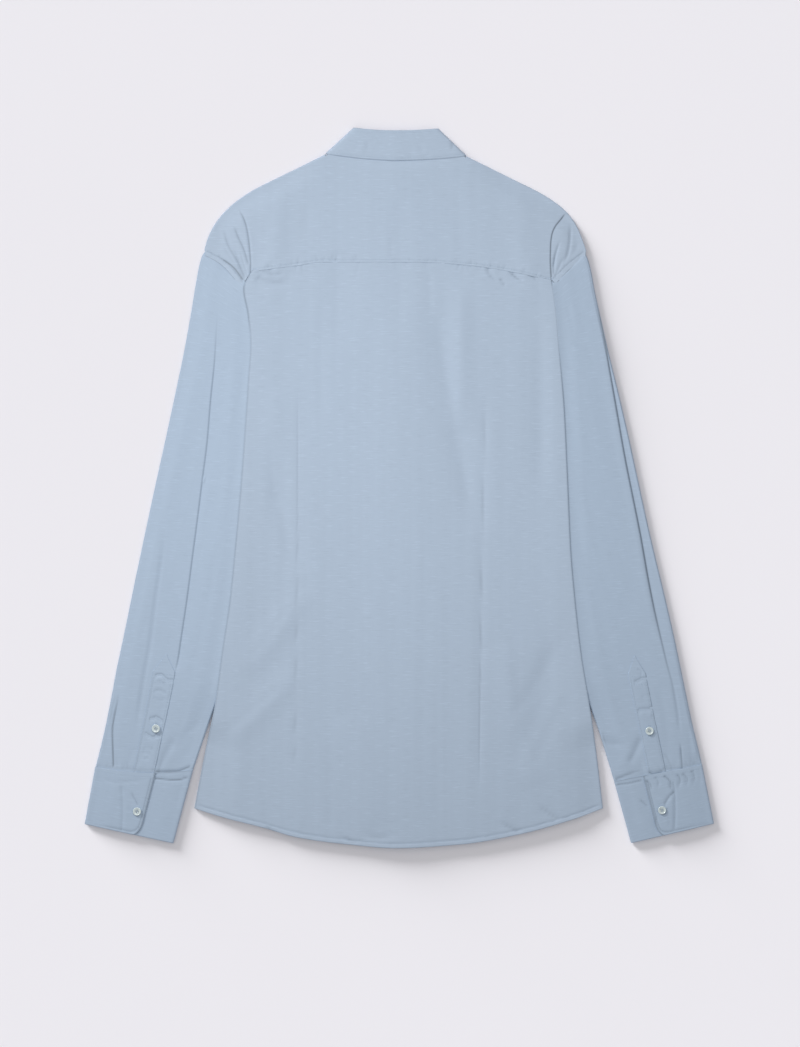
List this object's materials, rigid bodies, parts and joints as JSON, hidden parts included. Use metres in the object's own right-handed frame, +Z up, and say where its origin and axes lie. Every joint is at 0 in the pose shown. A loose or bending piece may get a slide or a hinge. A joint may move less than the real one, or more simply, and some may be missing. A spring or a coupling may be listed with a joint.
{
  "type": "long sleeve dress shirt",
  "caption": "Long sleeve dress shirt laid flat on its front, back upward, with a band collar, yoke, back darts, curved hem, sleeve plackets and buttoned cuffs.",
  "frame": {"origin": "on the surface that the shirt lies on, below the middle of its outline", "axes": "+Y from the hem to the collar, +X to the wearer's right, +Z up out of the back"},
  "size_m": [0.6934, 0.7924, 0.0083],
  "materials": {
    "shirting": "fine plain weave cotton, light blue, soft sheen",
    "button": "pearly white, polished"
  },
  "bodies": {
    "root": {"back_panel": "shirting", "back_yoke": "shirting", "front_left": "shirting", "front_right": "shirting", "front_placket": "shirting", "collar_band": "shirting", "sleeve_left": "shirting", "sleeve_right": "shirting", "sleeve_placket_left": "shirting", "sleeve_placket_right": "shirting", "cuff_left": "shirting", "cuff_right": "shirting", "button_cuff_left": "button", "button_cuff_right": "button", "button_sleeve_left": "button", "button_sleeve_right": "button", "button_collar": "button", "button_front_1": "button", "button_front_2": "button", "button_front_3": "button", "button_front_4": "button", "button_front_5": "button", "button_front_6": "button", "button_front_7": "button"}
  },
  "joints": []
}
